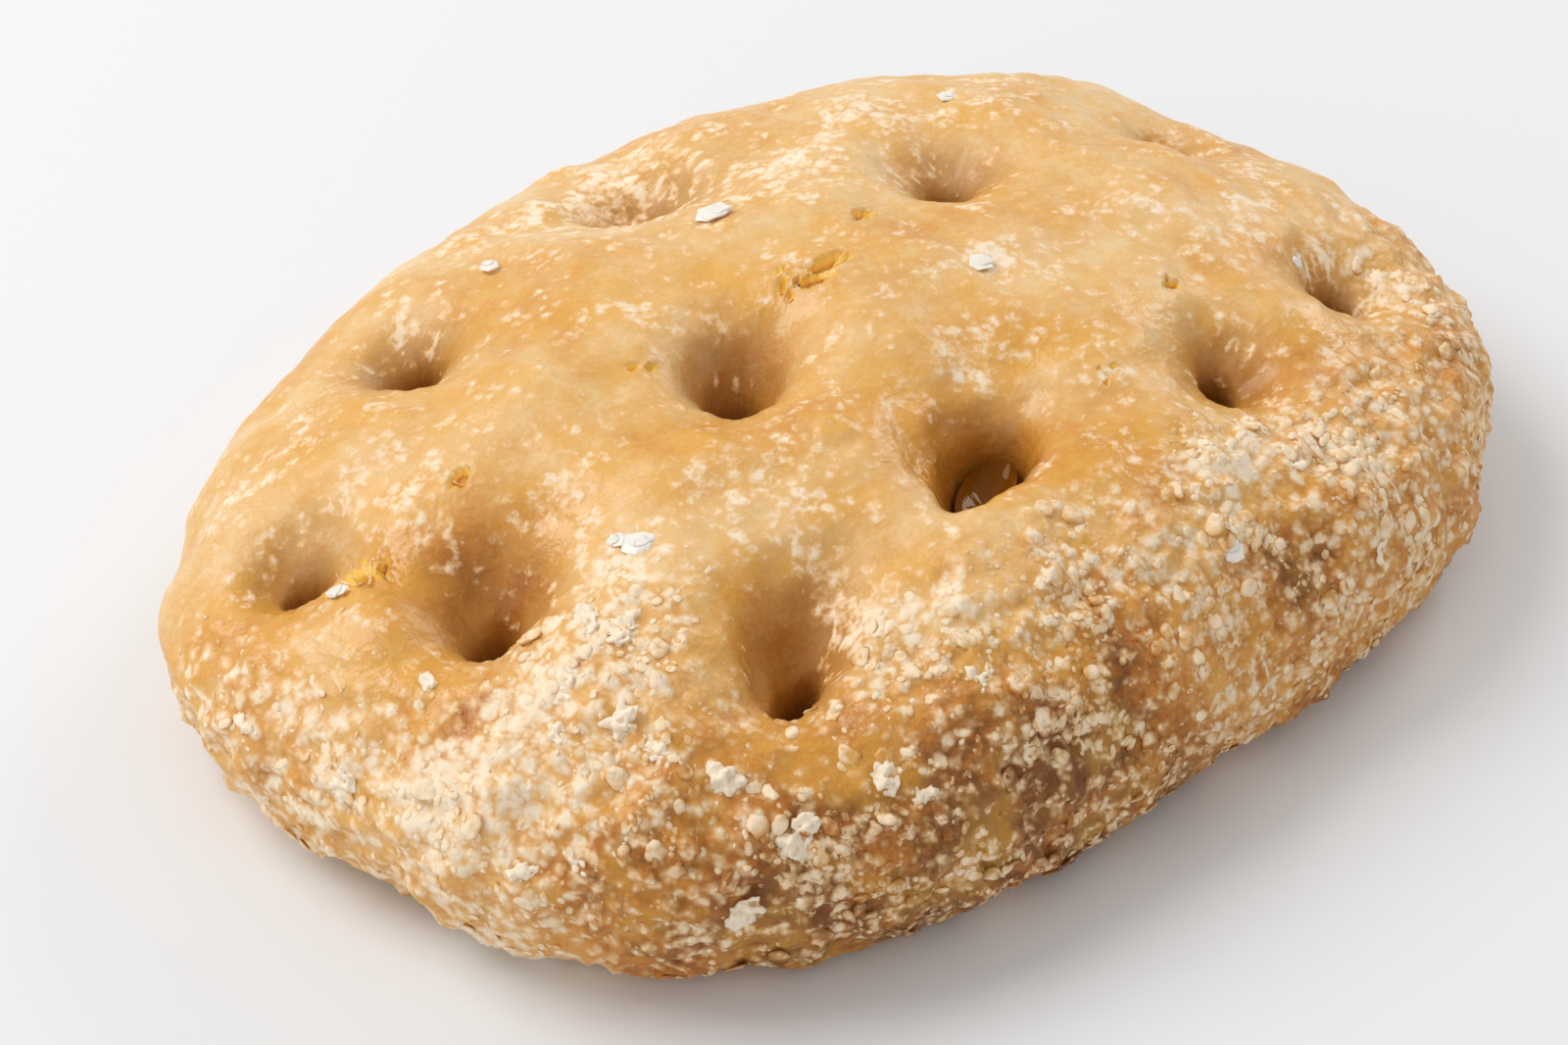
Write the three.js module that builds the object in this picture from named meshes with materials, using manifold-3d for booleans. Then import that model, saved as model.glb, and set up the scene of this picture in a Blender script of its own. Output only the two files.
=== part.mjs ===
// Focaccia: a hand-sized flat loaf with deep finger dimples, salt flakes and flour crumbs on its crust,
// and a little oil standing in one dimple. Millimetres, +Z up. The loaf rests on its flat base at z = 0,
// the origin is under the middle of it, and its long axis lies along X.
import * as THREE from 'three';
import { mergeVertices } from 'three/addons/utils/BufferGeometryUtils.js';
import Module from 'manifold-3d';

// Driving dimensions of the loaf.
const loafHeight = 40;
const girthHeight = 13; // height of the widest line round the side
const meanRadius = 76.1; // of the outline seen from above
const heart = { x: 0, y: -1.6 }; // the outline's pole, off the middle of the box
const baseShare = 0.86; // the flat base as a share of the outline
const crownSpread = 2.5; // superellipse powers of the crown, along the plan and the height
const crownRise = 2.2;
const reliefFade = 8; // height above the girth over which puffs and dimples come in

// The outline: slow waves round it, each with its number of lobes, swell and direction in degrees ...
const lobes = [
  { count: 2, swell: 10.6, towards: 3.4 },
  { count: 3, swell: 1.9, towards: 83.1 },
  { count: 4, swell: 1.1, towards: 63.6 },
];
// ... and short bulges and hollows, each with its direction and half width in degrees.
const bulges = [
  { swell: -4.1, towards: 193, width: 12 }, // hollow between two puffs of the front left
  { swell: 1.7, towards: 163, width: 4 },
  { swell: 3.2, towards: 33, width: 10.5 },
  { swell: -2.1, towards: 65, width: 12 },
];

// Soft puffs of the crown between the dimples.
const puffs = [
  { x: -50, y: -35.6, radius: 13, rise: 1.6 },
  { x: -8, y: -47.6, radius: 15, rise: 1.2 },
  { x: 22, y: -47.6, radius: 14, rise: 1.0 },
  { x: -32, y: 6.4, radius: 13, rise: 0.8 },
  { x: 12, y: 6.4, radius: 15, rise: 0.8 },
  { x: 50, y: 3.4, radius: 14, rise: 1.0 },
  { x: -30, y: 48.4, radius: 10, rise: 1.0 },
];

// Finger dimples: a core of radius core and depth deep, in a funnel of radius wide and depth dip. The funnel's
// middle lies off the core by lean. A dimple is stretch times as long as wide, and turned by turn degrees.
const dimples = [
  { x: -68.9, y: 8.6, wide: 6, dip: 5, core: 2, deep: 9, stretch: 1.15, turn: 10, lean: [-0.5, 2.2] },
  { x: -57.2, y: -13.6, wide: 6.8, dip: 7.5, core: 2.5, deep: 10, stretch: 1.5, turn: 30, lean: [1.4, 2.6] },
  { x: -35.2, y: -42, wide: 6.6, dip: 8, core: 1.9, deep: 12, stretch: 3.2, turn: 32, lean: [2.4, 3] },
  { x: -14.6, y: -1.6, wide: 5.7, dip: 8, core: 2.4, deep: 12, stretch: 1.5, turn: 55, lean: [1.2, 1.6] },
  { x: 0.2, y: -31.2, wide: 6.4, dip: 6.5, core: 4.6, deep: 8, stretch: 2.4, turn: 30, lean: [2.4, 2.6] },
  { x: 35.2, y: -32, wide: 6.2, dip: 6, core: 2.1, deep: 12, stretch: 1.4, turn: 50, lean: [1.6, -0.6] },
  { x: 60.7, y: -25, wide: 5.5, dip: 5.5, core: 2.4, deep: 11, stretch: 1.15, turn: -85, lean: [1, -0.4] },
  { x: 32.9, y: 16.6, wide: 6.6, dip: 6, core: 2.4, deep: 6, stretch: 1.2, turn: -40, lean: [0.4, 0.6] },
  { x: -39.8, y: 31.2, wide: 6.4, dip: 6.3, core: 2.5, deep: 8, stretch: 1.25, turn: 5, lean: [-0.4, 0.8] },
  { x: 1.6, y: 41.9, wide: 9.5, dip: 5, core: 4.5, deep: 1.5, stretch: 1.5, turn: -17, lean: [0, 0] },
  { x: 65.3, y: 11.1, wide: 6, dip: 3.5, core: 2.5, deep: 1.5, stretch: 2, turn: -67, lean: [0, 0] },
];
const sagShare = 0.4; // the soft sag round a funnel, as a share of its dip
const sagReach = 2.0; // and its radius, as a multiple of the funnel's
const funnelStretch = 0.2; // power of stretch that lengthens the funnel and narrows it
const coreStretch = 0.5; // the same for the core
const coreFall = 0.7; // how steeply the core's wall falls

// The oil stands in the fifth dimple.
const oil = { dimple: dimples[4], level: 28, reach: 10, gap: 0.45, sideShrink: 0.95, sides: 24 };

// Salt flakes seen on the crust: place and size across.
const saltFlakes = [
  { x: 2.3, y: 24.8, size: 4.4 },
  { x: -40.7, y: -20.3, size: 4.2 },
  { x: -42.6, y: -17.6, size: 2.4 },
  { x: 20.4, y: -5.4, size: 3.2 },
  { x: 59.2, y: -19.7, size: 3.6 },
  { x: -68.9, y: 1.1, size: 3.0 },
  { x: 44.1, y: 31.8, size: 3.0 },
  { x: 17.8, y: -55.4, size: 3.2 },
  { x: -24.0, y: 38.0, size: 2.8 },
];
const saltShape = { sides: 6, topShare: 0.72, width: 0.8, thickness: 0.4 }; // as shares of its size

// The largest flakes of baked flour, as seen: place and size across.
const flourFlakes = [
  { x: -49.1, y: -29.4, size: 5.2 }, { x: -51.6, y: -25.2, size: 4.2 }, { x: -56.1, y: -38.4, size: 4.6 },
  { x: -46.1, y: -57.2, size: 5.4 }, { x: -50.1, y: -49.3, size: 4.6 }, { x: -53.4, y: -57.9, size: 4.4 },
  { x: -55.1, y: -43.4, size: 3.4 }, { x: -34.6, y: -58.1, size: 3.8 }, { x: -32.1, y: -61.1, size: 3.4 },
  { x: -19.5, y: -55.5, size: 4.0 }, { x: 19, y: -52.6, size: 3.4 }, { x: -67.0, y: -44.9, size: 3.4 },
  { x: -72.0, y: -40.4, size: 3.2 }, { x: -68.0, y: -17.3, size: 3.6 }, { x: -80.2, y: -16.6, size: 3.4 },
  { x: 33.7, y: -49.9, size: 3.0 }, { x: 38.4, y: -59.4, size: 3.4 }, { x: -62.0, y: -34.0, size: 3.6 },
  { x: -58.5, y: -31.0, size: 3.8 }, { x: -84.2, y: -1.6, size: 2.6 },
];
const flakeShape = { width: 0.75, flatness: 0.42 }; // as shares of its size

// Smaller crumbs of flour on the front and right of the loaf, spread by seeded draws.
const crumbs = {
  number: 24, seed: 7, // how many, and where the draws start
  fromAngle: 188, toAngle: 352, // part of the side that is floured, in degrees
  fromHeight: 0.33, toHeight: 0.8, // as the share of the crust counted up from the base
  small: 1.8, large: 3.0, // size across
  spacing: 6.5, // least distance between two
  deepest: 2.5, // in a dimple
};

// How the crust is divided: its fineness, and the shares of its faces up to the base's edge and the girth.
const crustDetail = 15;
const baseFaces = 0.06;
const girthFaces = 0.16;

// The finger that makes each dimple smooth: its sides, how far it reaches, and how deep it shaves the crust.
const finger = { sides: 20, coreEnd: 1.4, reach: 1.3, mostOfEdge: 0.7, sink: 0.25, top: 60 };

const radians = THREE.MathUtils.degToRad;
const smooth = (low, high, value) => THREE.MathUtils.smoothstep(value, low, high);
const bell = (ratio) => Math.exp(-ratio * ratio);
const halfTurn = (angle) => THREE.MathUtils.euclideanModulo(angle + Math.PI, 2 * Math.PI) - Math.PI;

// Radius of the outline in the direction angle, from the heart.
function outline(angle) {
  let radius = meanRadius;
  for (const lobe of lobes) {
    radius += lobe.swell * Math.cos(lobe.count * (angle - radians(lobe.towards)));
  }
  for (const bulge of bulges) {
    const away = halfTurn(angle - radians(bulge.towards));
    radius += bulge.swell * bell(away / radians(bulge.width));
  }
  return radius;
}

// Height of the crown over a point of the plan, before the fingers go in.
function crownHeight(x, y) {
  const angle = Math.atan2(y - heart.y, x - heart.x);
  const share = Math.min(1, Math.hypot(x - heart.x, y - heart.y) / outline(angle));
  return girthHeight + (loafHeight - girthHeight) * (1 - share ** crownSpread) ** (1 / crownRise);
}

// Distance of a point of the plan from x, y, in the stretched and turned shape of a dimple.
function stretchedDistance(dimple, x, y, power) {
  const turn = radians(dimple.turn);
  const along = x * Math.cos(turn) + y * Math.sin(turn);
  const across = y * Math.cos(turn) - x * Math.sin(turn);
  const lengthen = dimple.stretch ** power;
  return Math.hypot(along / lengthen, across * lengthen);
}

// How far one dimple presses the crust down at a point of the plan.
function dimpleDepth(dimple, x, y, withCore) {
  const fromX = x - dimple.x;
  const fromY = y - dimple.y;
  const [leanX, leanY] = dimple.lean;
  const fromFunnel = stretchedDistance(dimple, fromX - leanX, fromY - leanY, funnelStretch);
  const fromCore = stretchedDistance(dimple, fromX, fromY, coreStretch);
  const funnel = dimple.dip * bell(fromFunnel / dimple.wide);
  const sag = sagShare * dimple.dip * bell(fromFunnel / (dimple.wide * sagReach));
  const core = withCore ? dimple.deep * Math.exp(-coreFall * (fromCore / dimple.core) ** 3) : 0;
  return funnel + sag + core;
}

// Height of the baked crust: the crown with its puffs, less the dimples, which fade out at the girth.
function crustHeight(x, y, withCores = true) {
  const crown = crownHeight(x, y);
  let change = 0;
  for (const puff of puffs) {
    change += puff.rise * bell(Math.hypot(x - puff.x, y - puff.y) / puff.radius);
  }
  for (const dimple of dimples) {
    change -= dimpleDepth(dimple, x, y, withCores);
  }
  return crown + change * smooth(girthHeight, girthHeight + reliefFade, crown);
}

// A point of the crust, less the cores: angle round the loaf, and climb from 0 at the middle of the base
// to 1 at the top.
function crustPoint(angle, climb) {
  const radius = outline(angle);
  const place = (share, z) => new THREE.Vector3(
    heart.x + share * radius * Math.cos(angle), heart.y + share * radius * Math.sin(angle), z);
  if (climb < baseFaces) {
    return place(baseShare * Math.sqrt(climb / baseFaces), 0);
  }
  if (climb < girthFaces) {
    const bend = (climb - baseFaces) / (girthFaces - baseFaces) * Math.PI / 2;
    return place(baseShare + (1 - baseShare) * Math.sin(bend), girthHeight * (1 - Math.cos(bend)));
  }
  const lift = Math.asin((climb - girthFaces) / (1 - girthFaces));
  const point = place(Math.cos(lift) ** (2 / crownSpread), 0);
  point.z = crustHeight(point.x, point.y, false);
  return point;
}

// The loaf before its toppings: a ball of even triangles, each corner of which is moved to the crust.
function makeCrust() {
  const geometry = new THREE.IcosahedronGeometry(1, crustDetail);
  const position = geometry.attributes.position;
  const corner = new THREE.Vector3();
  for (let i = 0; i < position.count; i++) {
    corner.fromBufferAttribute(position, i).normalize();
    const climb = Math.min(1, Math.max(0, (1 + corner.z) / 2));
    const point = crustPoint(Math.atan2(corner.y, corner.x), climb);
    position.setXYZ(i, point.x, point.y, point.z);
  }
  return geometry;
}

// The finger of one dimple: rings round its middle that lie on the dimple's floor, closed above the loaf.
// The rings are as long as the core inside and as round as the funnel outside.
function makeFinger(dimple) {
  const angle = Math.atan2(dimple.y - heart.y, dimple.x - heart.x);
  const toEdge = outline(angle) - Math.hypot(dimple.x - heart.x, dimple.y - heart.y);
  const reach = Math.min(finger.reach * dimple.wide, finger.mostOfEdge * toEdge);
  const coreEnd = finger.coreEnd * dimple.core;
  const rings = [0, 0.5 * dimple.core, dimple.core, coreEnd, (coreEnd + reach) / 2, reach];
  const profile = rings.map((radius) => new THREE.Vector2(radius, 0));
  profile.push(new THREE.Vector2(reach, finger.top), new THREE.Vector2(0, finger.top));
  const geometry = new THREE.LatheGeometry(profile, finger.sides);
  geometry.rotateX(Math.PI / 2);
  const turn = radians(dimple.turn);
  const position = geometry.attributes.position;
  for (let i = 0; i < position.count; i++) {
    const share = Math.hypot(position.getX(i), position.getY(i)) / reach;
    const lengthen = dimple.stretch ** THREE.MathUtils.lerp(coreStretch, funnelStretch, share);
    const along = position.getX(i) * lengthen;
    const across = position.getY(i) / lengthen;
    const x = dimple.x + along * Math.cos(turn) - across * Math.sin(turn);
    const y = dimple.y + along * Math.sin(turn) + across * Math.cos(turn);
    const onFloor = position.getZ(i) < finger.top / 2;
    position.setXYZ(i, x, y, onFloor ? crustHeight(x, y) - finger.sink : finger.top);
  }
  return geometry;
}

// Upward direction of the crust at a place given by angle and climb.
function crustNormal(angle, climb) {
  const step = 0.01; // radians, and share of the climb
  const round = crustPoint(angle + step, climb).sub(crustPoint(angle - step, climb));
  const up = crustPoint(angle, climb + step).sub(crustPoint(angle, climb - step));
  return round.cross(up).normalize();
}

// Sets a small geometry on the crust, with its own +Z along the crust's normal.
function setOnCrust(geometry, point, normal, spin) {
  const upright = new THREE.Quaternion().setFromUnitVectors(new THREE.Vector3(0, 0, 1), normal);
  geometry.rotateZ(spin);
  geometry.applyQuaternion(upright);
  geometry.translate(point.x, point.y, point.z);
  return geometry;
}

// The same at a place of the crown given by x and y.
function setOnCrown(geometry, x, y, spin) {
  const step = 0.5; // to each side, for the crust's slope
  const slopeX = (crustHeight(x + step, y) - crustHeight(x - step, y)) / (2 * step);
  const slopeY = (crustHeight(x, y + step) - crustHeight(x, y - step)) / (2 * step);
  const point = new THREE.Vector3(x, y, crustHeight(x, y));
  return setOnCrust(geometry, point, new THREE.Vector3(-slopeX, -slopeY, 1).normalize(), spin);
}

// A salt flake: a low plate with few sides, narrower at its top, and half sunk in the crust.
function makeSaltFlake(flake, number) {
  const radius = 0.5 * flake.size;
  const plate = new THREE.CylinderGeometry(
    saltShape.topShare * radius, radius, saltShape.thickness * flake.size, saltShape.sides);
  plate.rotateX(Math.PI / 2);
  plate.scale(1, saltShape.width, 1);
  return setOnCrown(plate, flake.x, flake.y, number);
}

// A flattened lump of flour with twenty faces.
function makeLump(size) {
  const lump = new THREE.IcosahedronGeometry(0.5 * size, 0);
  return lump.scale(1, flakeShape.width, flakeShape.flatness);
}

// The smaller crumbs, the draws that fall too near another being dropped.
function makeCrumbs() {
  let state = crumbs.seed;
  const draw = (low, high) => {
    state = (state * 16807) % 2147483647;
    return low + (high - low) * state / 2147483647;
  };
  const places = flourFlakes.map(({ x, y }) => new THREE.Vector3(x, y, crustHeight(x, y)));
  const lumps = [];
  while (lumps.length < crumbs.number) {
    const angle = radians(draw(crumbs.fromAngle, crumbs.toAngle));
    const climb = draw(crumbs.fromHeight, crumbs.toHeight);
    const size = draw(crumbs.small, crumbs.large);
    const spin = draw(0, Math.PI);
    const point = crustPoint(angle, climb);
    const nearDimple = dimples.some(
      (dimple) => dimpleDepth(dimple, point.x, point.y, true) > crumbs.deepest);
    if (nearDimple || places.some((place) => place.distanceTo(point) < crumbs.spacing)) {
      continue;
    }
    places.push(point.clone());
    lumps.push(setOnCrust(makeLump(size), point, crustNormal(angle, climb), spin));
  }
  return lumps;
}

const wasm = await Module();
wasm.setup();

// Closed three.js geometry to a solid that can be joined and cut, and back. A triangle that a pole squeezes
// to a line is left out.
function toSolid(geometry) {
  const shell = geometry.clone();
  shell.deleteAttribute('normal');
  shell.deleteAttribute('uv');
  const merged = mergeVertices(shell, 1e-3);
  const index = merged.index.array;
  const corners = [];
  for (let i = 0; i < index.length; i += 3) {
    const [a, b, c] = index.slice(i, i + 3);
    if (a !== b && b !== c && c !== a) {
      corners.push(a, b, c);
    }
  }
  return new wasm.Manifold(new wasm.Mesh({
    numProp: 3,
    vertProperties: new Float32Array(merged.attributes.position.array),
    triVerts: new Uint32Array(corners),
  }));
}

function toGeometry(solid) {
  const mesh = solid.getMesh();
  const geometry = new THREE.BufferGeometry();
  geometry.setAttribute('position', new THREE.BufferAttribute(new Float32Array(mesh.vertProperties), 3));
  geometry.setIndex(new THREE.BufferAttribute(new Uint32Array(mesh.triVerts), 1));
  geometry.computeVertexNormals();
  return geometry;
}

// The crust with its dimples pressed in.
function pressDimples(crust) {
  return dimples.reduce((pressed, dimple) => pressed.subtract(toSolid(makeFinger(dimple))), toSolid(crust));
}

// The loaf with its salt and flour joined on.
function addToppings(pressed) {
  const flakes = flourFlakes.map(({ x, y, size }, number) => setOnCrown(makeLump(size), x, y, number));
  const toppings = [...saltFlakes.map(makeSaltFlake), ...flakes, ...makeCrumbs()];
  return toppings.reduce((loaf, topping) => loaf.add(toSolid(topping)), pressed);
}

// The oil: a short cylinder up to its level, less the crust moved up by the gap, then drawn in sideways.
function makeOil(pressed) {
  const depth = oil.dimple.dip + oil.dimple.deep;
  const column = new THREE.CylinderGeometry(oil.reach, oil.reach, depth, oil.sides);
  column.rotateX(Math.PI / 2);
  column.translate(oil.dimple.x, oil.dimple.y, oil.level - depth / 2);
  const lifted = toGeometry(pressed).translate(0, 0, oil.gap);
  const pool = toGeometry(toSolid(column).subtract(toSolid(lifted)));
  pool.translate(-oil.dimple.x, -oil.dimple.y, 0);
  pool.scale(oil.sideShrink, oil.sideShrink, 1);
  pool.translate(oil.dimple.x, oil.dimple.y, 0);
  return pool;
}

const crustMaterial = new THREE.MeshStandardMaterial({ color: 0xdba860, roughness: 0.6, metalness: 0 });
const oilMaterial = new THREE.MeshStandardMaterial({ color: 0xb98423, roughness: 0.05, metalness: 0 });

const pressedCrust = pressDimples(makeCrust());

const loaf = new THREE.Mesh(toGeometry(addToppings(pressedCrust)), crustMaterial);
loaf.name = 'loaf';

const oilPool = new THREE.Mesh(makeOil(pressedCrust), oilMaterial);
oilPool.name = 'oil_pool';

const focaccia = new THREE.Group();
focaccia.add(loaf, oilPool);

export default focaccia;
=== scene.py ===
# Focaccia: a hand-sized flat loaf with finger dimples, a floured crust, salt flakes and a little oil.
# Forms are worked out in millimetres, and each mesh is written in metres. +Z is up, the long axis is X.
import math
import bmesh
import bpy
import numpy as np
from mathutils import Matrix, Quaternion, Vector, kdtree


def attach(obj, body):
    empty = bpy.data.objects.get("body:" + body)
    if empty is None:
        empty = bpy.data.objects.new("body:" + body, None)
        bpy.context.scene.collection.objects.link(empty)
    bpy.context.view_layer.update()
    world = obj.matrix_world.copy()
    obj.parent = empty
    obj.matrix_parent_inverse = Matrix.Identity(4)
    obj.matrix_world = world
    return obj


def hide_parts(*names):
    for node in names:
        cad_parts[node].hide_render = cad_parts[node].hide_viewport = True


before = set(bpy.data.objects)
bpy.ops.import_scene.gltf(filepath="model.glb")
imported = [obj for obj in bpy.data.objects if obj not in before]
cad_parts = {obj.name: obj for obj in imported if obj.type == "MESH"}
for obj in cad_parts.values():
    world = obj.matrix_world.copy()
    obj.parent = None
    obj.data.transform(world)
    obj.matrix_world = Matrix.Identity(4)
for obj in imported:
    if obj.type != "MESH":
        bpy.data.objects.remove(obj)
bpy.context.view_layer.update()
mm = 0.001
print("frame loaded")

# the loaf's form, worked out as its solid is
loafForm = {
    "height": 40,
    "girthHeight": 13,  # of the widest line round the side
    "meanRadius": 76.1,
    "heart": (0, -1.6),  # the outline's pole
    "baseShare": 0.86,  # the flat base as a share of the outline
    "crownSpread": 2.5,
    "crownRise": 2.2,
    "fade": 8,  # height above the girth over which puffs and dimples come in
    # slow waves round the outline: count, swell, direction in degrees
    "lobes": [(2, 10.6, 3.4), (3, 1.9, 83.1), (4, 1.1, 63.6)],
    # short bulges and hollows of the outline: swell, direction, half width
    "bulges": [(-4.1, 193, 12), (1.7, 163, 4), (3.2, 33, 10.5), (-2.1, 65, 12)],
    # soft puffs between the dimples: x, y, radius, rise
    "puffs": [
        (-50, -35.6, 13, 1.6), (-8, -47.6, 15, 1.2), (22, -47.6, 14, 1.0), (-32, 6.4, 13, 0.8),
        (12, 6.4, 15, 0.8), (50, 3.4, 14, 1.0), (-30, 48.4, 10, 1.0),
    ],
    "sagShare": 0.4,  # the soft sag round a dimple's funnel, as a share of its dip
    "sagReach": 2.0,
    "coreFall": 0.7,
    "coreStretch": 0.5,  # the power at which the core is as much longer than wide as its stretch says
    "funnelStretch": 0.2,
}

# place of each dimple's core, its funnel's radius and dip, the core's radius and depth, how much longer than
# wide it is and how it's turned, and how far the funnel's middle lies from the core's
dimpleKeys = ("x", "y", "wide", "dip", "core", "deep", "stretch", "turn", "leanX", "leanY")
dimples = [dict(zip(dimpleKeys, values)) for values in [
    (-68.9, 8.6, 6, 5, 2, 9, 1.15, 10, -0.5, 2.2),
    (-57.2, -13.6, 6.8, 7.5, 2.5, 10, 1.5, 30, 1.4, 2.6),
    (-35.2, -42, 6.6, 8, 1.9, 12, 3.2, 32, 2.4, 3),
    (-14.6, -1.6, 5.7, 8, 2.4, 12, 1.5, 55, 1.2, 1.6),
    (0.2, -31.2, 6.4, 6.5, 4.6, 8, 2.4, 30, 2.4, 2.6),
    (35.2, -32, 6.2, 6, 2.1, 12, 1.4, 50, 1.6, -0.6),
    (60.7, -25, 5.5, 5.5, 2.4, 11, 1.15, -85, 1, -0.4),
    (32.9, 16.6, 6.6, 6, 2.4, 6, 1.2, -40, 0.4, 0.6),
    (-39.8, 31.2, 6.4, 6.3, 2.5, 8, 1.25, 5, -0.4, 0.8),
    (1.6, 41.9, 9.5, 5, 4.5, 1.5, 1.5, -17, 0, 0),
    (65.3, 11.1, 6, 3.5, 2.5, 1.5, 2, -67, 0, 0),
]]


def smooth(low, high, value):
    share = np.clip((value - low) / (high - low), 0, 1)
    return share * share * (3 - 2 * share)


def bell(ratio):
    return np.exp(-ratio * ratio)


def outline(angle):
    radius = np.full_like(angle, loafForm["meanRadius"])
    for count, swell, towards in loafForm["lobes"]:
        radius += swell * np.cos(count * (angle - math.radians(towards)))
    for swell, towards, width in loafForm["bulges"]:
        away = (np.degrees(angle) - towards + 180) % 360 - 180
        radius += swell * bell(away / width)
    return radius


def polar(x, y):
    # direction from the heart, and distance as a share of the outline
    fromX = x - loafForm["heart"][0]
    fromY = y - loafForm["heart"][1]
    angle = np.arctan2(fromY, fromX)
    return angle, np.hypot(fromX, fromY) / outline(angle)


def crownHeight(x, y):
    share = np.minimum(polar(x, y)[1], 1)
    rise = (1 - share ** loafForm["crownSpread"]) ** (1 / loafForm["crownRise"])
    return loafForm["girthHeight"] + (loafForm["height"] - loafForm["girthHeight"]) * rise


def fromDimple(dimple, x, y, power, lean):
    # distance from a dimple's core, or with lean from its funnel, in its stretched and turned shape
    turn = math.radians(dimple["turn"])
    fromX = x - dimple["x"] - lean * dimple["leanX"]
    fromY = y - dimple["y"] - lean * dimple["leanY"]
    along = fromX * math.cos(turn) + fromY * math.sin(turn)
    across = fromY * math.cos(turn) - fromX * math.sin(turn)
    lengthen = dimple["stretch"] ** power
    return np.hypot(along / lengthen, across * lengthen)


def funnelDepth(dimple, x, y):
    away = fromDimple(dimple, x, y, loafForm["funnelStretch"], 1) / dimple["wide"]
    return dimple["dip"] * (bell(away) + loafForm["sagShare"] * bell(away / loafForm["sagReach"]))


def coreDepth(dimple, x, y):
    away = fromDimple(dimple, x, y, loafForm["coreStretch"], 0) / dimple["core"]
    return dimple["deep"] * np.exp(-loafForm["coreFall"] * away ** 3)


def crustHeight(x, y):
    crown = crownHeight(x, y)
    change = np.zeros_like(crown)
    for puffX, puffY, radius, rise in loafForm["puffs"]:
        change += rise * bell(np.hypot(x - puffX, y - puffY) / radius)
    for dimple in dimples:
        change -= funnelDepth(dimple, x, y) + coreDepth(dimple, x, y)
    girth = loafForm["girthHeight"]
    return crown + change * smooth(girth, girth + loafForm["fade"], crown)


def crustPoint(x, y):
    return np.array([x, y, crustHeight(np.array([x]), np.array([y]))[0]])


waveSpread = (0.7, 1.4)  # how much slower or faster than asked a wave may rise and fall


def waves(points, size, seed, count=9):
    # soft random swelling of about unit height, size millimetres from crest to crest
    draws = np.random.RandomState(seed)
    total = np.zeros(len(points))
    for _ in range(count):
        direction = draws.normal(size=3)
        direction *= draws.uniform(*waveSpread) / np.linalg.norm(direction)
        total += np.sin(points @ direction * (2 * math.pi / size) + draws.uniform(0, 2 * math.pi))
    return total * math.sqrt(2 / count)


def layered(points, layers, base=0):
    # a base with waves on it, each layer given by its size, strength and seed
    return sum((strength * waves(points, size, seed) for size, strength, seed in layers), base)


def ovalShare(x, y, centreX, centreY, halfLength, halfWidth, turn):
    # distance from the middle of a turned oval, 1 on its edge
    cosine, sine = math.cos(math.radians(turn)), math.sin(math.radians(turn))
    along = (x - centreX) * cosine + (y - centreY) * sine
    across = (y - centreY) * cosine - (x - centreX) * sine
    return np.hypot(along / halfLength, across / halfWidth)


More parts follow.
